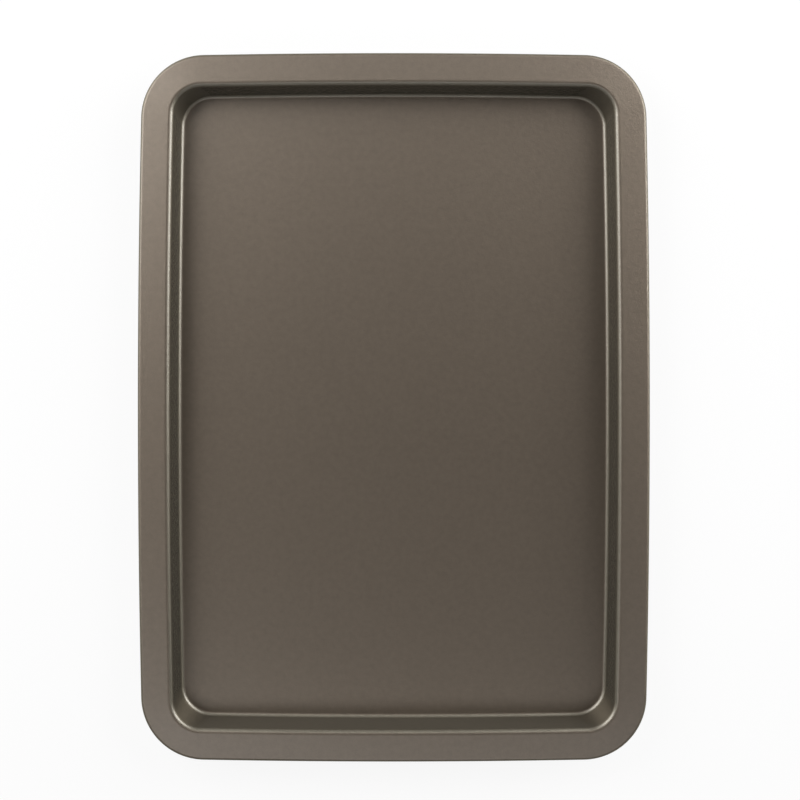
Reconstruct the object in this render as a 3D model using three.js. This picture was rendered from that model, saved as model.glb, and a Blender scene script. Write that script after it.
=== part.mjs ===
// Cookie sheet: a shallow oven tray pressed from one blank of coated sheet steel.
// Its wide rim falls a little outwards and ends in an edge that is curled round a stiffening wire.
// Units are millimetres, with +Z up and +Y along the tray.
// The origin is the middle of the underside, on the surface that the tray stands on.
import * as THREE from "three";

// Driving dimensions, in millimetres unless a line says otherwise
const TRAY_LENGTH = 368; // over the rim, along Y
const TRAY_WIDTH = 266; // over the rim, along X
const TRAY_HEIGHT = 19; // from the underside to the crest of the rim
const SHEET = 0.6; // thickness of the coated steel
const LONG_SIDE_RADIUS = 6500; // crown of the long sides, which bow outwards a little
const SHORT_SIDE_RADIUS = 5000; // crown of the short sides
const RIM_CORNER_RADIUS = 33; // outer corners of the rim, seen from above
const MOUTH_CORNER_RADIUS = 17; // corners of the rim's crest, round the mouth of the tray
const FLOOR_CORNER_RADIUS = 14.5; // corners of the flat floor
const FLANGE_WIDTH = 12.5; // straight part of the rim, between its bend and its curl
const FLANGE_DROOP = THREE.MathUtils.degToRad(3); // fall of the flange from its crest outwards
const RIM_BEND_RADIUS = 2.1; // inside of the bend, under the flange
const FLOOR_BEND_RADIUS = 2.4; // inside of the bend, above the floor
const WALL_DRAFT = THREE.MathUtils.degToRad(8); // lean of the side walls from the vertical
const WIRE_DIAMETER = 1.6; // stiffening wire inside the curl
const WIRE_CLEARANCE = 0.25; // between the wire and the curl round it
const CURL_END_GAP = 0.3; // between the sheet's curled edge and the flange above it
const WIRE_JOINT_GAP = 1; // between the wire's two ends, halfway along the right long side

// Facets along each stretch of the outline and of the section
const CORNER_STEPS = 12;
const HALF_SIDE_STEPS = 4;
const BEND_STEPS = 6;
const CURL_QUARTER_STEPS = 4;
const CURL_TAIL_STEPS = 10;
const WIRE_SIDES = 12;

const QUARTER_TURN = Math.PI / 2;

const coatedSteel = new THREE.MeshStandardMaterial({
  name: "nonstick_coat",
  color: 0x70675c,
  roughness: 0.45,
  metalness: 0.5,
});
const wireSteel = new THREE.MeshStandardMaterial({
  name: "wire_steel",
  color: 0xa8a9aa,
  roughness: 0.4,
  metalness: 1,
});

// Seen from above, each line round the tray is four crowned sides and four corners, all tangent arcs.
// The sides of all lines share these arc centres and their mirror images, so the sides run parallel.
const longSideCentre = new THREE.Vector2(TRAY_WIDTH / 2 - LONG_SIDE_RADIUS, 0);
const shortSideCentre = new THREE.Vector2(0, TRAY_LENGTH / 2 - SHORT_SIDE_RADIUS);

// Centre of the corner in +X +Y, at these distances from the two sides' arc centres.
function cornerCentre(toLong, toShort) {
  const between = shortSideCentre.clone().sub(longSideCentre);
  const span = between.length();
  const along = (toLong ** 2 - toShort ** 2 + span ** 2) / (2 * span);
  const across = Math.sqrt(toLong ** 2 - along ** 2);
  const direction = between.normalize();
  const side = new THREE.Vector2(-direction.y, direction.x);
  return longSideCentre.clone().addScaledVector(direction, along).addScaledVector(side, across);
}

// Stations of a line that runs round the tray at a distance inside the rim's outer edge.
// They go counter-clockwise from the middle of the right long side and back to it.
// A start angle above zero leaves a gap there.
function lineRound(inset, cornerRadius, startAngle) {
  const longRadius = LONG_SIDE_RADIUS - inset;
  const shortRadius = SHORT_SIDE_RADIUS - inset;
  const corner = cornerCentre(longRadius - cornerRadius, shortRadius - cornerRadius);
  const longEnd = corner.clone().sub(longSideCentre).angle();
  const shortEnd = corner.clone().sub(shortSideCentre).angle();
  const half = Math.PI;
  const full = 2 * Math.PI;
  const stations = [];
  const addArc = (x, y, radius, from, to, steps) => {
    for (let step = stations.length ? 1 : 0; step <= steps; step++) {
      const angle = from + ((to - from) * step) / steps;
      stations.push({ x, y, radius, angle });
    }
  };
  const addLongSide = (mirror, from, to, steps) =>
    addArc(mirror * longSideCentre.x, 0, longRadius, from, to, steps);
  const addShortSide = (mirror, from, to) =>
    addArc(0, mirror * shortSideCentre.y, shortRadius, from, to, 2 * HALF_SIDE_STEPS);
  const addCorner = (mirrorX, mirrorY, from, to) =>
    addArc(mirrorX * corner.x, mirrorY * corner.y, cornerRadius, from, to, CORNER_STEPS);
  addLongSide(1, startAngle, longEnd, HALF_SIDE_STEPS);
  addCorner(1, 1, longEnd, shortEnd);
  addShortSide(1, shortEnd, half - shortEnd);
  addCorner(-1, 1, half - shortEnd, half - longEnd);
  addLongSide(-1, half - longEnd, half + longEnd, 2 * HALF_SIDE_STEPS);
  addCorner(-1, -1, half + longEnd, half + shortEnd);
  addShortSide(-1, half + shortEnd, full - shortEnd);
  addCorner(1, -1, full - shortEnd, full - longEnd);
  addLongSide(1, full - longEnd, full - startAngle, HALF_SIDE_STEPS);
  return stations;
}

// A section point holds its distance outside its station's line, negative within it, and its height.
function placeSection(section, station) {
  return section.map(({ x, y }) => {
    const reach = station.radius + x;
    return new THREE.Vector3(
      station.x + reach * Math.cos(station.angle),
      station.y + reach * Math.sin(station.angle),
      y,
    );
  });
}

const arcPoints = (centre, radius, from, to, steps) =>
  new THREE.EllipseCurve(centre.x, centre.y, radius, radius, from, to, to < from).getPoints(steps);

// The section follows the middle of the sheet: floor bend, wall, rim bend, flange and curl.
// The two bends are centred on lines of their own, and the curl is placed from the rim's outer edge.
const floorBend = FLOOR_BEND_RADIUS + SHEET / 2;
const rimBend = RIM_BEND_RADIUS + SHEET / 2;
const curlInside = WIRE_DIAMETER / 2 + WIRE_CLEARANCE;
const curlBend = curlInside + SHEET / 2;
const curlOutside = curlInside + SHEET;

const floorBendCentre = new THREE.Vector2(0, SHEET / 2 + floorBend);
const rimBendCentre = new THREE.Vector2(0, TRAY_HEIGHT - SHEET / 2 - rimBend);
const flangeRun = FLANGE_WIDTH * Math.cos(FLANGE_DROOP) + (rimBend - curlBend) * Math.sin(FLANGE_DROOP);
const flangeFall = FLANGE_WIDTH * Math.sin(FLANGE_DROOP) - (rimBend - curlBend) * Math.cos(FLANGE_DROOP);
const curlCentre = new THREE.Vector2(-curlOutside, rimBendCentre.y - flangeFall);
const curlStart = QUARTER_TURN - FLANGE_DROOP;

// The curl stops where the corner of the sheet's edge would come within its gap of the flange.
const curlTailRise = Math.asin((curlInside - CURL_END_GAP) / curlOutside);
const curlEnd = -Math.PI - curlTailRise - FLANGE_DROOP;

const bendRise = rimBendCentre.y - floorBendCentre.y;
const wallRun = bendRise * Math.tan(WALL_DRAFT) + (floorBend + rimBend) / Math.cos(WALL_DRAFT);
const mouthInset = curlOutside + flangeRun;
const floorInset = mouthInset + wallRun;

// Lean of the wall that joins the two bends at matching stations. It grows in the corners of the tray.
function wallLean(floorStation, mouthStation) {
  const [foot] = placeSection([floorBendCentre], floorStation);
  const [head] = placeSection([rimBendCentre], mouthStation);
  const outwards = new THREE.Vector3(Math.cos(mouthStation.angle), Math.sin(mouthStation.angle), 0);
  const run = head.sub(foot).dot(outwards);
  return Math.atan2(run, bendRise) - Math.asin((floorBend + rimBend) / Math.hypot(run, bendRise));
}

// One face of the sheet at matching stations of the three lines, from the floor to the curled edge.
// Lift is the face's height above the middle of the sheet.
function sheetFace(lift, floorStation, mouthStation, edgeStation) {
  const lean = wallLean(floorStation, mouthStation);
  const floorArc = arcPoints(floorBendCentre, floorBend - lift, -QUARTER_TURN, -lean, BEND_STEPS);
  const rimArc = [
    ...arcPoints(rimBendCentre, rimBend + lift, Math.PI - lean, QUARTER_TURN, BEND_STEPS),
    ...arcPoints(rimBendCentre, rimBend + lift, QUARTER_TURN, curlStart, 1).slice(1),
  ];
  const curlArc = [
    ...arcPoints(curlCentre, curlBend + lift, curlStart, 0, CURL_QUARTER_STEPS),
    ...arcPoints(curlCentre, curlBend + lift, 0, curlEnd, CURL_TAIL_STEPS).slice(1),
  ];
  return [
    ...placeSection(floorArc, floorStation),
    ...placeSection(rimArc, mouthStation),
    ...placeSection(curlArc, edgeStation),
  ];
}

function solidFrom(points, triangles) {
  const geometry = new THREE.BufferGeometry().setFromPoints(points);
  geometry.setIndex(triangles);
  geometry.computeVertexNormals();
  return geometry;
}

// Two triangles for each square between neighbouring points of neighbouring sections.
function bandTriangles(fromStart, toStart, sectionSize, closedSection) {
  const triangles = [];
  const squares = closedSection ? sectionSize : sectionSize - 1;
  for (let here = 0; here < squares; here++) {
    const next = (here + 1) % sectionSize;
    triangles.push(fromStart + here, fromStart + next, toStart + next);
    triangles.push(fromStart + here, toStart + next, toStart + here);
  }
  return triangles;
}

// The pressed shell: the sheet's section carried once round the tray, with the flat floor closing its middle.
function trayShell() {
  const floorLine = lineRound(floorInset, FLOOR_CORNER_RADIUS, 0);
  const mouthLine = lineRound(mouthInset, MOUTH_CORNER_RADIUS, 0);
  const edgeLine = lineRound(0, RIM_CORNER_RADIUS, 0);
  const sections = edgeLine.slice(0, -1).map((edgeStation, index) => {
    const face = (lift) => sheetFace(lift, floorLine[index], mouthLine[index], edgeStation);
    return [...face(SHEET / 2), ...face(-SHEET / 2).reverse()];
  });
  const size = sections[0].length;
  const points = sections.flat();
  const floorTop = points.push(new THREE.Vector3(0, 0, SHEET)) - 1;
  const floorUnder = points.push(new THREE.Vector3(0, 0, 0)) - 1;
  const triangles = sections.flatMap((_, index) => {
    const from = index * size;
    const to = ((index + 1) % sections.length) * size;
    return [
      ...bandTriangles(from, to, size, false),
      ...[floorTop, from, to],
      ...[floorUnder, to + size - 1, from + size - 1],
    ];
  });
  return solidFrom(points, triangles);
}

// The stiffening wire: one length bent round the rim inside the curl, with its ends nearly meeting.
function rimWire() {
  const circle = arcPoints(curlCentre, WIRE_DIAMETER / 2, 2 * Math.PI, 0, WIRE_SIDES).slice(0, -1);
  const wireLine = LONG_SIDE_RADIUS + curlCentre.x;
  const stations = lineRound(0, RIM_CORNER_RADIUS, WIRE_JOINT_GAP / 2 / wireLine);
  const size = circle.length;
  const points = stations.flatMap((station) => placeSection(circle, station));
  const triangles = stations
    .slice(1)
    .flatMap((_, index) => bandTriangles(index * size, (index + 1) * size, size, true));
  const lastStart = (stations.length - 1) * size;
  for (let here = 1; here < size - 1; here++) {
    triangles.push(0, here + 1, here);
    triangles.push(lastStart, lastStart + here, lastStart + here + 1);
  }
  return solidFrom(points, triangles);
}

function namedMesh(name, geometry, material) {
  const mesh = new THREE.Mesh(geometry, material);
  mesh.name = name;
  return mesh;
}

const cookieSheet = new THREE.Group();
cookieSheet.name = "cookie_sheet";
cookieSheet.add(namedMesh("tray_shell", trayShell(), coatedSteel));
cookieSheet.add(namedMesh("rim_wire", rimWire(), wireSteel));

export default cookieSheet;
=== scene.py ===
import math
from collections import namedtuple

import bpy
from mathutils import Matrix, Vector


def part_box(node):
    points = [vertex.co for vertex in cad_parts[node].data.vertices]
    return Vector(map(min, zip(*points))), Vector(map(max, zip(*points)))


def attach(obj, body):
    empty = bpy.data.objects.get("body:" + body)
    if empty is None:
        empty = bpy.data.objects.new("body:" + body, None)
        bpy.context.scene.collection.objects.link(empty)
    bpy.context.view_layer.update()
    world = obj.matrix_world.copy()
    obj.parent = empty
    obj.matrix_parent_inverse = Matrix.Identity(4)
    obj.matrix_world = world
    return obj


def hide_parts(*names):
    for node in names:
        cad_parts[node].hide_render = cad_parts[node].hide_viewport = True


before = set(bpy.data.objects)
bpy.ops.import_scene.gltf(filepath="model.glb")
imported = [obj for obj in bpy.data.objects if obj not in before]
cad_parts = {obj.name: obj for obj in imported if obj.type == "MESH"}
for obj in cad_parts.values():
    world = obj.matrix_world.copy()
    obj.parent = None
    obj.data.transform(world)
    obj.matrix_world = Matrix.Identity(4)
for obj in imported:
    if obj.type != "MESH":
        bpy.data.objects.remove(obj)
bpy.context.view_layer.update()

bl_info = {
    "name": "Cookie sheet",
    "version": (1, 0, 0),
    "blender": (4, 5, 0),
    "location": "View3D > Sidebar > Cookie sheet",
    "description": "A coated pressed steel cookie sheet, its rim wire and a plain studio",
    "category": "Add Mesh",
}

SHELL_LOW, SHELL_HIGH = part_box("tray_shell")
BODY = "root"

# Mesh density, in steps along each stretch of the outline and of the section
CORNER_STEPS = 32
SIDE_STEPS = 24
BEND_STEPS = 14
CURL_STEPS = 44
WIRE_SIDES = 24
FLOOR_RINGS = 8
SHARP_EDGE = math.radians(50)

# Share of a straight run that a bend's smooth shading may spread into, at each end
RUN_MARGIN = 0.03
FLOOR_MARGIN = 0.004

QUARTER_TURN = math.pi / 2
HALF_TURN = math.pi
FULL_TURN = 2 * math.pi


class TraySizes(bpy.types.PropertyGroup):
    """Sizes of the pressed sheet and of the wire in its rim."""

    length: bpy.props.FloatProperty(
        name="Length", description="Over the rim, along Y", subtype="DISTANCE", unit="LENGTH",
        default=SHELL_HIGH.y - SHELL_LOW.y)
    width: bpy.props.FloatProperty(
        name="Width", description="Over the rim, along X", subtype="DISTANCE", unit="LENGTH",
        default=SHELL_HIGH.x - SHELL_LOW.x)
    height: bpy.props.FloatProperty(
        name="Height", description="From the underside to the crest of the rim", subtype="DISTANCE",
        unit="LENGTH", default=SHELL_HIGH.z - SHELL_LOW.z)
    sheet: bpy.props.FloatProperty(
        name="Sheet", description="Thickness of the coated steel", subtype="DISTANCE", unit="LENGTH",
        default=0.0006)
    rim_corner: bpy.props.FloatProperty(
        name="Rim corners", description="Radius of the rim's outer corners, seen from above",
        subtype="DISTANCE", unit="LENGTH", default=0.033)
    mouth_corner: bpy.props.FloatProperty(
        name="Mouth corners", description="Radius of the corners of the rim's crest", subtype="DISTANCE",
        unit="LENGTH", default=0.017)
    floor_corner: bpy.props.FloatProperty(
        name="Floor corners", description="Radius of the flat floor's corners", subtype="DISTANCE",
        unit="LENGTH", default=0.0145)
    long_side_radius: bpy.props.FloatProperty(
        name="Long side crown", description="Radius of the long sides, which bow outwards a little",
        subtype="DISTANCE", unit="LENGTH", default=6.5)
    short_side_radius: bpy.props.FloatProperty(
        name="Short side crown", description="Radius of the short sides, which bow outwards a little",
        subtype="DISTANCE", unit="LENGTH", default=5.0)
    flange: bpy.props.FloatProperty(
        name="Flange", description="Straight part of the rim, between its bend and its curl",
        subtype="DISTANCE", unit="LENGTH", default=0.0125)
    droop: bpy.props.FloatProperty(
        name="Flange droop", description="Fall of the flange from its crest outwards", subtype="ANGLE",
        default=math.radians(3))
    rim_bend: bpy.props.FloatProperty(
        name="Rim bend", description="Inside radius of the bend under the flange", subtype="DISTANCE",
        unit="LENGTH", default=0.0021)
    floor_bend: bpy.props.FloatProperty(
        name="Floor bend", description="Inside radius of the bend above the floor", subtype="DISTANCE",
        unit="LENGTH", default=0.0024)
    draft: bpy.props.FloatProperty(
        name="Wall draft", description="Lean of the side walls from the vertical", subtype="ANGLE",
        default=math.radians(8))
    wire: bpy.props.FloatProperty(
        name="Wire", description="Diameter of the wire inside the curl", subtype="DISTANCE", unit="LENGTH",
        default=0.0016)
    wire_clearance: bpy.props.FloatProperty(
        name="Wire clearance", description="Between the wire and the curl round it", subtype="DISTANCE",
        unit="LENGTH", default=0.00025)
    curl_end_gap: bpy.props.FloatProperty(
        name="Curl end gap", description="Between the sheet's curled edge and the flange above it",
        subtype="DISTANCE", unit="LENGTH", default=0.0003)
    wire_joint_gap: bpy.props.FloatProperty(
        name="Wire joint gap", description="Between the wire's two ends", subtype="DISTANCE", unit="LENGTH",
        default=0.001)


class TrayFinish(bpy.types.PropertyGroup):
    """Colours of the coat, of its painted highlight tint on the bends and walls, and of the wire."""

    coat: bpy.props.FloatVectorProperty(
        name="Coat", description="Bronze grey of the non-stick coat", subtype="COLOR", min=0, max=1,
        default=(0.251, 0.201, 0.152))
    coat_dark: bpy.props.FloatVectorProperty(
        name="Coat binder", description="Darker binder between the coat's metal flakes", subtype="COLOR",
        min=0, max=1, default=(0.197, 0.157, 0.118))
    # Painted highlight colour: this greyer tone on the bends and walls stands in for the neutral tint of
    # their highlights and grazing reflections.
    slope_highlight_tint: bpy.props.FloatVectorProperty(
        name="Thin coat", description="Greyer tone on the bends and walls, where the sprayed coat is thin",
        subtype="COLOR", min=0, max=1, default=(0.205, 0.182, 0.136))
    steel: bpy.props.FloatVectorProperty(
        name="Wire steel", description="Bare drawn steel", subtype="COLOR", min=0, max=1,
        default=(0.50, 0.50, 0.51))


class StudioSettings(bpy.types.PropertyGroup):
    """Place of the camera and colour of the floor."""

    camera_height: bpy.props.FloatProperty(
        name="Camera height", description="Above the top of the rim", subtype="DISTANCE", unit="LENGTH",
        default=0.83)
    camera_place: bpy.props.FloatVectorProperty(
        name="Camera place", description="Point under the camera", subtype="TRANSLATION",
        unit="LENGTH", size=2, default=(-0.001, 0.044))
    view_middle: bpy.props.FloatVectorProperty(
        name="View middle", description="Point in the middle of the picture", subtype="TRANSLATION",
        unit="LENGTH", size=2, default=(0.0032, 0.0039))
    view_width: bpy.props.FloatProperty(
        name="View width", description="Width of the picture at the top of the rim", subtype="DISTANCE",
        unit="LENGTH", default=0.4145)
    floor_colour: bpy.props.FloatVectorProperty(
        name="Floor", description="Plain pale floor", subtype="COLOR", min=0, max=1,
        default=(0.9, 0.9, 0.9))


# Lines round the tray

Station = namedtuple("Station", "centre radius angle")


def corner_centre(sizes, to_long, to_short):
    """Centre of the corner in +X +Y, at these distances from the centres of the two sides' arcs."""
    long_x = sizes.width / 2 - sizes.long_side_radius
    short_y = sizes.length / 2 - sizes.short_side_radius
    span = math.hypot(long_x, short_y)
    along = (to_long ** 2 - to_short ** 2 + span ** 2) / (2 * span)
    across = math.sqrt(to_long ** 2 - along ** 2)
    x = long_x + (-long_x * along - short_y * across) / span
    y = (short_y * along - long_x * across) / span
    return x, y


def line_round(sizes, inset, corner_radius, start=0.0):
    """Stations of a line inside the rim's edge, counter-clockwise from the right long side's middle."""
    long_x = sizes.width / 2 - sizes.long_side_radius
    short_y = sizes.length / 2 - sizes.short_side_radius
    long_radius = sizes.long_side_radius - inset
    short_radius = sizes.short_side_radius - inset
    corner_x, corner_y = corner_centre(sizes, long_radius - corner_radius, short_radius - corner_radius)
    long_end = math.atan2(corner_y, corner_x - long_x)
    short_end = math.atan2(corner_y - short_y, corner_x)
    stations = []

    def add_arc(x, y, radius, begin, end, steps):
        for step in range(1 if stations else 0, steps + 1):
            angle = begin + (end - begin) * step / steps
            stations.append(Station((x, y), radius, angle))

    def add_long_side(mirror, begin, end, steps):
        add_arc(mirror * long_x, 0, long_radius, begin, end, steps)

    def add_short_side(mirror, begin, end):
        add_arc(0, mirror * short_y, short_radius, begin, end, SIDE_STEPS)

    def add_corner(mirror_x, mirror_y, begin, end):
        add_arc(mirror_x * corner_x, mirror_y * corner_y, corner_radius, begin, end, CORNER_STEPS)

    add_long_side(1, start, long_end, SIDE_STEPS // 2)
    add_corner(1, 1, long_end, short_end)
    add_short_side(1, short_end, HALF_TURN - short_end)
    add_corner(-1, 1, HALF_TURN - short_end, HALF_TURN - long_end)
    add_long_side(-1, HALF_TURN - long_end, HALF_TURN + long_end, SIDE_STEPS)
    add_corner(-1, -1, HALF_TURN + long_end, HALF_TURN + short_end)
    add_short_side(-1, HALF_TURN + short_end, FULL_TURN - short_end)
    add_corner(1, -1, FULL_TURN - short_end, FULL_TURN - long_end)
    add_long_side(1, FULL_TURN - long_end, FULL_TURN - start, SIDE_STEPS // 2)
    return stations


# Section of the sheet

Bend = namedtuple("Bend", "centre radius")
Section = namedtuple("Section", "floor_bend rim_bend curl curl_start curl_end mouth_inset floor_inset")


def sheet_section(sizes):
    """The bends along the middle of the sheet, each about its own line, and how far in those lines run."""
    half = sizes.sheet / 2
    floor_radius = sizes.floor_bend + half
    rim_radius = sizes.rim_bend + half
    curl_inside = sizes.wire / 2 + sizes.wire_clearance
    curl_outside = curl_inside + sizes.sheet
    narrowing = rim_radius - (curl_inside + half)
    flange_run = sizes.flange * math.cos(sizes.droop) + narrowing * math.sin(sizes.droop)
    flange_fall = sizes.flange * math.sin(sizes.droop) - narrowing * math.cos(sizes.droop)
    floor_height = half + floor_radius
    rim_height = sizes.height - half - rim_radius
    rise = rim_height - floor_height
    wall_run = rise * math.tan(sizes.draft) + (floor_radius + rim_radius) / math.cos(sizes.draft)
    tail = math.asin((curl_inside - sizes.curl_end_gap) / curl_outside)
    mouth_inset = curl_outside + flange_run
    return Section(
        floor_bend=Bend((0, floor_height), floor_radius),
        rim_bend=Bend((0, rim_height), rim_radius),
        curl=Bend((-curl_outside, rim_height - flange_fall), curl_inside + half),
        curl_start=QUARTER_TURN - sizes.droop,
        curl_end=-HALF_TURN - tail - sizes.droop,
        mouth_inset=mouth_inset,
        floor_inset=mouth_inset + wall_run,
    )


def arc_points(centre, radius, begin, end, steps):
    """Points of an arc, each as its distance outside its line and its height."""
    angles = [begin + (end - begin) * step / steps for step in range(steps + 1)]
    return [(centre[0] + radius * math.cos(a), centre[1] + radius * math.sin(a)) for a in angles]


def place_section(points, station):
    """A section's points, stood at a station of a line."""
    across = math.cos(station.angle)
    along = math.sin(station.angle)
    placed = []
    for outwards, height in points:
        reach = station.radius + outwards
        x = station.centre[0] + reach * across
        y = station.centre[1] + reach * along
        placed.append(Vector((x, y, height)))
    return placed


def wall_lean(section, floor_station, mouth_station):
    """Lean of the wall between its two bends, which grows in the corners of the tray."""
    foot = place_section([section.floor_bend.centre], floor_station)[0]
    head = place_section([section.rim_bend.centre], mouth_station)[0]
    outwards = Vector((math.cos(mouth_station.angle), math.sin(mouth_station.angle), 0))
    run = (head - foot).dot(outwards)
    rise = head.z - foot.z
    bends = section.floor_bend.radius + section.rim_bend.radius
    return math.atan2(run, rise) - math.asin(bends / math.hypot(run, rise))


def joined(*arcs):
    """Arcs joined by straight runs, with a point close to each end of a run, which keeps it flat."""
    points = list(arcs[0])
    for arc in arcs[1:]:
        begin, end = points[-1], arc[0]
        points.append(begin.lerp(end, RUN_MARGIN))
        points.append(end.lerp(begin, RUN_MARGIN))
        points.extend(arc)
    return points


def sheet_face(section, lift, floor_station, mouth_station, edge_station):
    """One face of the sheet, that far above its middle, from the floor to the curled edge."""
    lean = wall_lean(section, floor_station, mouth_station)
    floor_bend, rim_bend, curl = section.floor_bend, section.rim_bend, section.curl
    floor_arc = arc_points(floor_bend.centre, floor_bend.radius - lift, -QUARTER_TURN, -lean, BEND_STEPS)
    rim_arc = arc_points(
        rim_bend.centre, rim_bend.radius + lift, HALF_TURN - lean, section.curl_start, BEND_STEPS)
    curl_arc = arc_points(curl.centre, curl.radius + lift, section.curl_start, section.curl_end, CURL_STEPS)
    return joined(
        place_section(floor_arc, floor_station),
        place_section(rim_arc, mouth_station),
        place_section(curl_arc, edge_station),
    )


# Meshes

def band_faces(here, there, size, closed):
    """Squares between two neighbouring sections of that many points."""
    faces = []
    for point in range(size if closed else size - 1):
        following = (point + 1) % size
        faces.append((here + point, here + following, there + following, there + point))
    return faces


def add_floor(vertices, faces, edge, upwards):
    """Fills a loop of vertices with rings that shrink towards the middle of the floor."""
    rings = [edge]
    height = vertices[edge[0]][2]
    even_shares = [ring / FLOOR_RINGS for ring in reversed(range(1, FLOOR_RINGS))]
    for share in (1 - FLOOR_MARGIN, *even_shares):
        rings.append(list(range(len(vertices), len(vertices) + len(edge))))
        vertices.extend((vertices[i][0] * share, vertices[i][1] * share, height) for i in edge)
    middle = len(vertices)
    vertices.append((0, 0, height))
    count = len(edge)
    for here in range(count):
        there = (here + 1) % count
        for outer, inner in zip(rings, rings[1:]):
            square = (outer[here], outer[there], inner[there], inner[here])
            faces.append(square if upwards else square[::-1])
        corner = (rings[-1][here], rings[-1][there], middle)
        faces.append(corner if upwards else corner[::-1])


def make_piece(name, vertices, faces, material):
    """A smooth mesh object with sharp edges kept, riding on the tray's body."""
    mesh = bpy.data.meshes.new(name)
    mesh.from_pydata(vertices, [], faces)
    mesh.validate()
    mesh.shade_smooth()
    mesh.set_sharp_from_angle(angle=SHARP_EDGE)
    mesh.materials.append(material)
    piece = bpy.data.objects.new(name, mesh)
    bpy.context.scene.collection.objects.link(piece)
    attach(piece, BODY)
    return piece


def shell_mesh(sizes):
    """Vertices and faces of the pressed sheet."""
    section = sheet_section(sizes)
    lines = list(zip(
        line_round(sizes, section.floor_inset, sizes.floor_corner),
        line_round(sizes, section.mouth_inset, sizes.mouth_corner),
        line_round(sizes, 0, sizes.rim_corner),
    ))[:-1]
    vertices = []
    starts = []
    for stations in lines:
        starts.append(len(vertices))
        vertices.extend(sheet_face(section, sizes.sheet / 2, *stations))
        vertices.extend(reversed(sheet_face(section, -sizes.sheet / 2, *stations)))
    size = starts[1]
    faces = []
    for here, there in zip(starts, starts[1:] + starts[:1]):
        faces.extend(band_faces(here, there, size, closed=False))
    add_floor(vertices, faces, starts, upwards=True)
    add_floor(vertices, faces, [start + size - 1 for start in starts], upwards=False)
    return vertices, faces


def wire_mesh(sizes):
    """Vertices and faces of the wire, with flat ends that nearly meet."""
    centre = sheet_section(sizes).curl.centre
    circle = arc_points(centre, sizes.wire / 2, FULL_TURN, 0, WIRE_SIDES)[:-1]
    half_gap = sizes.wire_joint_gap / 2 / (sizes.long_side_radius + centre[0])
    stations = line_round(sizes, 0, sizes.rim_corner, start=half_gap)
    size = len(circle)
    vertices = [point for station in stations for point in place_section(circle, station)]
    faces = []
    for index in range(len(stations) - 1):
        faces.extend(band_faces(index * size, (index + 1) * size, size, closed=True))
    last = (len(stations) - 1) * size
    faces.append(tuple(range(size))[::-1])
    faces.append(tuple(range(last, last + size)))
    return vertices, faces


# Materials

class Value:
    """A shader socket. Arithmetic on it adds Math nodes."""

    def __init__(self, shader, socket):
        self.shader = shader
        self.socket = socket

    def math(self, operation, *operands):
        """A Math node on the operands, in this value's tree."""
        return self.shader.node("ShaderNodeMath", {"operation": operation}, dict(enumerate(operands)))

    def __add__(self, other):
        return self.math("ADD", self, other)

    def __radd__(self, other):
        return self.math("ADD", other, self)

    def __sub__(self, other):
        return self.math("SUBTRACT", self, other)

    def __rsub__(self, other):
        return self.math("SUBTRACT", other, self)

    def __mul__(self, other):
        return self.math("MULTIPLY", self, other)

    def __rmul__(self, other):
        return self.math("MULTIPLY", other, self)

    def __abs__(self):
        return self.math("ABSOLUTE", self)


class Shader:
    """A node tree under construction."""

    def __init__(self, tree):
        self.tree = tree
        tree.nodes.clear()

    def node(self, kind, settings=None, inputs=None, output=0):
        """Adds a node: its settings first, then its sockets. Returns one output as a Value."""
        made = self.tree.nodes.new(kind)
        for name, setting in (settings or {}).items():
            if name == "stops":
                self.set_stops(made.color_ramp, setting)
            else:
                setattr(made, name, setting)
        for socket, given in (inputs or {}).items():
            if isinstance(given, Value):
                self.tree.links.new(given.socket, made.inputs[socket])
            else:
                made.inputs[socket].default_value = given
        return Value(self, made.outputs[output]) if made.outputs else made

    @staticmethod
    def set_stops(ramp, stops):
        """Gives the two ends of a colour ramp these (position, grey level) stops."""
        for element, (position, level) in zip(ramp.elements, stops):
            element.position = position
            element.color = (level, level, level, 1)


def rgba(colour, shade=1.0):
    """A colour with full alpha, darkened to a share of itself."""
    return (*(channel * shade for channel in colour), 1)


def mixed(shader, factor, first, second):
    """A colour between two colours."""
    return shader.node("ShaderNodeMix", {"data_type": "RGBA"}, {0: factor, 6: first, 7: second}, output=2)


def noise(shader, place, scale, detail=2.0):
    """Noise with that many periods to a metre."""
    return shader.node("ShaderNodeTexNoise", {}, {"Vector": place, "Scale": scale, "Detail": detail})


def rising(shader, value, low, high):
    """0 up to the low value, 1 from the high value on."""
    return shader.node("ShaderNodeMapRange", {}, {"Value": value, "From Min": low, "From Max": high})


def new_material(name):
    """A material with an empty tree."""
    material = bpy.data.materials.new(name)
    material.use_nodes = True
    return material, Shader(material.node_tree)


def finish_surface(shader, inputs):
    """One Principled surface to the material's output."""
    surface = shader.node("ShaderNodeBsdfPrincipled", {}, inputs)
    shader.node("ShaderNodeOutputMaterial", {}, {"Surface": surface})


FLAKE_SCALE = 1700  # metal flakes in the coat, a few tenths of a millimetre
PEEL_SCALE = 620  # orange peel of the sprayed coat, a millimetre or two
MOTTLE_SCALE = 330  # uneven thickness of the coat, two or three millimetres
CLOUD_SCALE = 16  # slow drift of tone over several centimetres
FLAKE_TONE, MOTTLE_TONE, CLOUD_TONE = 0.35, 1.1, 0.2  # how much each moves the coat's tone
TONE_OFFSET = 0.33  # brings the sum of the three to the middle of the two tones
SLOPE_TINT_SHADE = 0.9  # darker tone of the painted highlight tint, as a share of its colour
SLOPE_BEGINS, SLOPE_FULL = 0.01, 0.14  # 1 less the upright share of the normal: where the painted highlight tint lies, on bends and walls
EDGE_BEGINS, EDGE_FULL = 0.03, 0.10  # lever of the normal about the tray's middle, on the outer bead
COAT_ROUGHNESS = 0.46
FLAKE_ROUGHNESS, CLOUD_ROUGHNESS = 0.08, 0.03
EDGE_ROUGHNESS = 0.15  # the outer bead is duller than the rim
COAT_GLOSS = 0.21
EDGE_GLOSS_LOSS = 0.16
FLAKE_RELIEF = 0.35  # height of the flakes beside that of the orange peel
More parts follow.
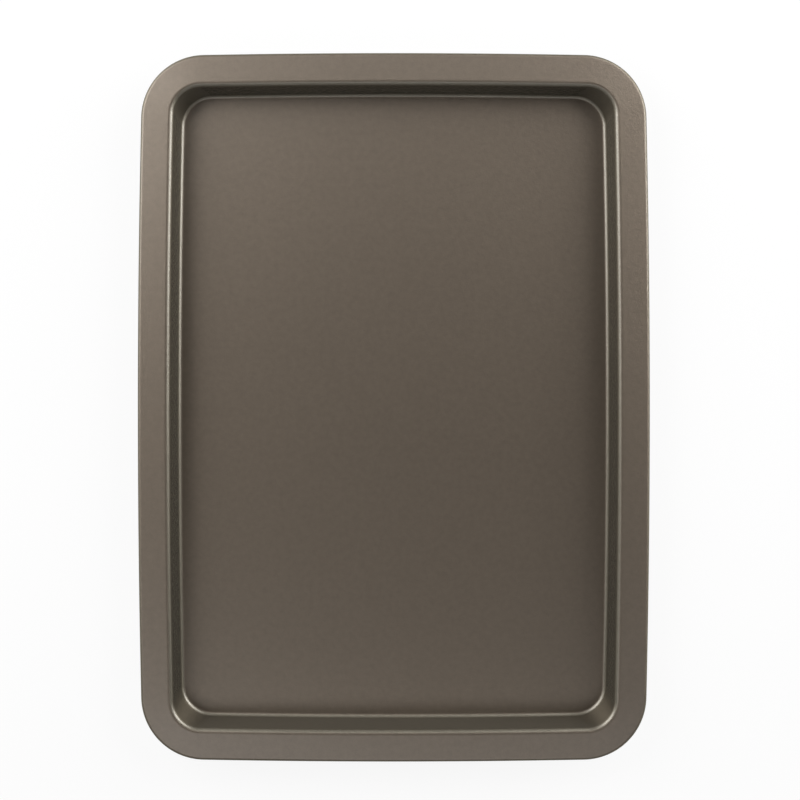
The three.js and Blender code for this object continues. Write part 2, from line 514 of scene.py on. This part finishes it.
COAT_GRAZING = (0.10, 0.13, 0.12, 1)  # the metal flakes lie flat, so they fade when seen along the sheet


def nonstick_coat(finish):
    """Satin bronze-grey coat: fine metal flakes in a darker binder, with a faint orange peel, and a painted
    highlight tint on the bends and walls.
    """
    material, shader = new_material("nonstick_coat")
    place = shader.node("ShaderNodeTexCoord", output="Object")
    flakes = noise(shader, place, FLAKE_SCALE, detail=1.0)
    clouds = noise(shader, place, CLOUD_SCALE, detail=3.0)
    peel = noise(shader, place, PEEL_SCALE, detail=2.0)
    mottle = noise(shader, place, MOTTLE_SCALE, detail=2.0)
    facing = shader.node("ShaderNodeTexCoord", output="Normal")
    upright = shader.node("ShaderNodeSeparateXYZ", {}, {"Vector": facing}, output="Z")
    outwards = shader.node(
        "ShaderNodeVectorMath", {"operation": "DOT_PRODUCT"}, {0: facing, 1: place}, output="Value")
    slope = rising(shader, 1 - abs(upright), SLOPE_BEGINS, SLOPE_FULL)
    edge = rising(shader, outwards, EDGE_BEGINS, EDGE_FULL)
    sparkle = shader.node("ShaderNodeValToRGB", {"stops": [(0.35, 0.0), (0.65, 1.0)]}, {"Fac": flakes})
    tone = sparkle * FLAKE_TONE + mottle * MOTTLE_TONE + clouds * CLOUD_TONE - TONE_OFFSET
    level_colour = mixed(shader, tone, rgba(finish.coat_dark), rgba(finish.coat))
    # Painted highlight colour: the slope alone gives the bends and walls the greyer tint, which stands in
    # for their neutral highlights and grazing reflections.
    slope_highlight_colour = mixed(shader, tone, rgba(finish.slope_highlight_tint, SLOPE_TINT_SHADE), rgba(finish.slope_highlight_tint))
    colour = mixed(shader, slope, level_colour, slope_highlight_colour)
    relief = peel + flakes * FLAKE_RELIEF
    roughness = COAT_ROUGHNESS + flakes * FLAKE_ROUGHNESS - clouds * CLOUD_ROUGHNESS
    normal = shader.node("ShaderNodeBump", {}, {"Strength": 0.7, "Distance": 0.0001, "Height": relief})
    finish_surface(shader, {
        "Base Color": colour,
        "Metallic": 0.97,
        "Roughness": roughness + edge * EDGE_ROUGHNESS,
        "Specular Tint": COAT_GRAZING,
        "Coat Weight": COAT_GLOSS - edge * EDGE_GLOSS_LOSS,
        "Coat Roughness": 0.32,
        "Coat IOR": 4.0,
        "Sheen Weight": 0.05,
        "Sheen Roughness": 0.5,
        "Normal": normal,
    })
    return material


FILM_SCALE = 220  # patches of the dull film on the wire, a few millimetres
FILM_SHADE = 0.7


def wire_steel(finish):
    """Bare drawn steel under a dull, patchy film."""
    material, shader = new_material("wire_steel")
    place = shader.node("ShaderNodeTexCoord", output="Object")
    film = noise(shader, place, FILM_SCALE, detail=3.0)
    colour = mixed(shader, film, rgba(finish.steel), rgba(finish.steel, FILM_SHADE))
    normal = shader.node("ShaderNodeBump", {}, {"Strength": 0.1, "Distance": 0.00005, "Height": film})
    finish_surface(shader, {
        "Base Color": colour,
        "Metallic": 1.0,
        "Roughness": 0.3 + film * 0.2,
        "Normal": normal,
    })
    return material


def seen_directly(shader):
    """1 for what the camera, a reflection or a clear body shows, 0 for what lights other surfaces."""
    camera = shader.node("ShaderNodeLightPath", output="Is Camera Ray")
    glossy = shader.node("ShaderNodeLightPath", output="Is Glossy Ray")
    transmission = shader.node("ShaderNodeLightPath", output="Is Transmission Ray")
    return camera + glossy + transmission


def floor_paint(colour):
    """Plain pale floor that the camera and reflections see nearly white, with the tray's shadow on it."""
    material, shader = new_material("studio_floor")
    place = shader.node("ShaderNodeTexCoord", output="Object")
    drift = noise(shader, place, FLOOR_DRIFT_SCALE)
    tone = mixed(shader, drift, rgba(colour), rgba(colour, FLOOR_DRIFT_SHADE))
    paint = shader.node("ShaderNodeBsdfDiffuse", {}, {"Color": tone})
    glow = shader.node("ShaderNodeEmission", {}, {"Color": WHITE, "Strength": 1.0})
    share = seen_directly(shader) * FLOOR_GLOW
    surface = shader.node("ShaderNodeMixShader", {}, {0: share, 1: paint, 2: glow})
    shader.node("ShaderNodeOutputMaterial", {}, {"Surface": surface})
    return material


# Studio, with lamps placed in degrees and metres round the tray and their power in watts

Lamp = namedtuple("Lamp", "name bearing rise distance size power")
LAMPS = (
    Lamp("left_softbox", 148, 32, 1.0, (0.80, 0.90), 9.6),
    Lamp("right_softbox", 35, 32, 1.0, (1.00, 0.65), 8.5),
    Lamp("right_side_strip", 20, 15, 1.0, (0.50, 0.30), 2.6),
    Lamp("back_fill", 105, 60, 1.0, (1.00, 0.40), 0.48),
    Lamp("front_left_fill", 244, 52, 1.0, (1.20, 0.30), 1.57),
    Lamp("front_right_fill", 305, 52, 1.0, (0.50, 0.30), 0.32),
)
FLOOR_REACH = 30.0
FLOOR_DROP = 0.0002  # keeps the floor clear of the tray's flat underside
FLOOR_DRIFT_SCALE = 3.0
FLOOR_DRIFT_SHADE = 0.985
FLOOR_GLOW = 0.9  # share of plain white in the floor and the backdrop, the rest takes the shadow
CEILING_LEVEL = 0.0
HORIZON_TOP = 0.17  # sine of the rise up to which the backdrop round the floor is pale
HORIZON_FADE = 0.034
NEAR_CLIP = 0.01
WHITE = (1, 1, 1, 1)


def lamp_place(lamp):
    """Where a lamp stands: its bearing from +X round the tray, its rise and its distance."""
    bearing = math.radians(lamp.bearing)
    rise = math.radians(lamp.rise)
    level = lamp.distance * math.cos(rise)
    return Vector((level * math.cos(bearing), level * math.sin(bearing), lamp.distance * math.sin(rise)))


def add_lamp(lamp):
    """A soft rectangular lamp, aimed at the middle of the tray."""
    light = bpy.data.lights.new(lamp.name, "AREA")
    light.shape = "RECTANGLE"
    light.size, light.size_y = lamp.size
    light.energy = lamp.power
    holder = bpy.data.objects.new(lamp.name, light)
    holder.location = lamp_place(lamp)
    holder.rotation_mode = "QUATERNION"
    holder.rotation_quaternion = (-holder.location).to_track_quat("-Z", "Y")
    holder.visible_camera = False  # it lights the tray and shows in the coat, but not in the picture
    bpy.context.scene.collection.objects.link(holder)


def add_floor_plane(colour):
    """The floor that the tray stands on."""
    mesh = bpy.data.meshes.new("studio_floor")
    signs = ((-1, -1), (1, -1), (1, 1), (-1, 1))
    corners = [(x * FLOOR_REACH, y * FLOOR_REACH, -FLOOR_DROP) for x, y in signs]
    mesh.from_pydata(corners, [], [(0, 1, 2, 3)])
    mesh.materials.append(floor_paint(colour))
    plane = bpy.data.objects.new("studio_floor", mesh)
    bpy.context.scene.collection.objects.link(plane)


def add_camera(studio, rim_height):
    """A camera that looks straight down, with the picture shifted to frame the tray."""
    lens = bpy.data.cameras.new("camera")
    lens.lens = lens.sensor_width * studio.camera_height / studio.view_width
    lens.shift_x = (studio.view_middle[0] - studio.camera_place[0]) / studio.view_width
    lens.shift_y = (studio.view_middle[1] - studio.camera_place[1]) / studio.view_width
    lens.clip_start = NEAR_CLIP
    camera = bpy.data.objects.new("camera", lens)
    camera.location = (*studio.camera_place, rim_height + studio.camera_height)
    bpy.context.scene.collection.objects.link(camera)
    bpy.context.scene.camera = camera


def set_world():
    """A dark ceiling above a pale backdrop that goes on from the floor."""
    world = bpy.data.worlds.new("studio")
    world.use_nodes = True
    shader = Shader(world.node_tree)
    direction = shader.node("ShaderNodeTexCoord", output="Generated")
    height = shader.node("ShaderNodeSeparateXYZ", {}, {"Vector": direction}, output="Z")
    low = 1 - rising(shader, height, HORIZON_TOP, HORIZON_TOP + HORIZON_FADE)
    ceiling = shader.node("ShaderNodeBackground", {}, {"Color": WHITE, "Strength": CEILING_LEVEL})
    backdrop = shader.node("ShaderNodeBackground", {}, {"Color": WHITE, "Strength": FLOOR_GLOW})
    share = seen_directly(shader) * low
    surface = shader.node("ShaderNodeMixShader", {}, {0: share, 1: ceiling, 2: backdrop})
    shader.node("ShaderNodeOutputWorld", {}, {"Surface": surface})
    bpy.context.scene.world = world


# Operators and panel

class COOKIESHEET_OT_tray_shell(bpy.types.Operator):
    """Make the pressed sheet with its floor, walls, rim and curl"""

    bl_idname = "cookiesheet.tray_shell"
    bl_label = "Tray shell"

    def execute(self, context):
        sizes = context.scene.tray_sizes
        shell = make_piece("pressed_shell", *shell_mesh(sizes), nonstick_coat(context.scene.tray_finish))
        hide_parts("tray_shell")
        return {"FINISHED"}


class COOKIESHEET_OT_rim_wire(bpy.types.Operator):
    """Make the wire inside the curled rim"""

    bl_idname = "cookiesheet.rim_wire"
    bl_label = "Rim wire"

    def execute(self, context):
        sizes = context.scene.tray_sizes
        wire = make_piece("drawn_wire", *wire_mesh(sizes), wire_steel(context.scene.tray_finish))
        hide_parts("rim_wire")
        return {"FINISHED"}


class COOKIESHEET_OT_studio(bpy.types.Operator):
    """Make the floor, the soft lamps, the world and the camera"""

    bl_idname = "cookiesheet.studio"
    bl_label = "Studio"

    def execute(self, context):
        studio = context.scene.tray_studio
        add_floor_plane(studio.floor_colour)
        for lamp in LAMPS:
            add_lamp(lamp)
        set_world()
        add_camera(studio, context.scene.tray_sizes.height)
        context.scene.view_settings.view_transform = "Standard"
        return {"FINISHED"}


class COOKIESHEET_PT_panel(bpy.types.Panel):
    """Settings and build steps of the cookie sheet"""

    bl_idname = "COOKIESHEET_PT_panel"
    bl_label = "Cookie sheet"
    bl_space_type = "VIEW_3D"
    bl_region_type = "UI"
    bl_category = "Cookie sheet"

    def draw(self, context):
        for group in (context.scene.tray_sizes, context.scene.tray_finish, context.scene.tray_studio):
            box = self.layout.box()
            for name in group.__annotations__:
                box.prop(group, name)
        for operator in OPERATORS:
            self.layout.operator(operator.bl_idname)


OPERATORS = (COOKIESHEET_OT_tray_shell, COOKIESHEET_OT_rim_wire, COOKIESHEET_OT_studio)
GROUPS = {"tray_sizes": TraySizes, "tray_finish": TrayFinish, "tray_studio": StudioSettings}


def register():
    """Registers the classes and hangs the settings on the scene."""
    for cls in (*GROUPS.values(), *OPERATORS, COOKIESHEET_PT_panel):
        bpy.utils.register_class(cls)
    for name, group in GROUPS.items():
        setattr(bpy.types.Scene, name, bpy.props.PointerProperty(type=group))


def unregister():
    """Takes the settings and the classes away again."""
    for name in GROUPS:
        delattr(bpy.types.Scene, name)
    for cls in reversed((*GROUPS.values(), *OPERATORS, COOKIESHEET_PT_panel)):
        bpy.utils.unregister_class(cls)


def main():
    """Builds the pieces and the studio."""
    register()
    bpy.ops.cookiesheet.studio()
    bpy.ops.cookiesheet.tray_shell()
    bpy.ops.cookiesheet.rim_wire()


if __name__ == "__main__":
    main()
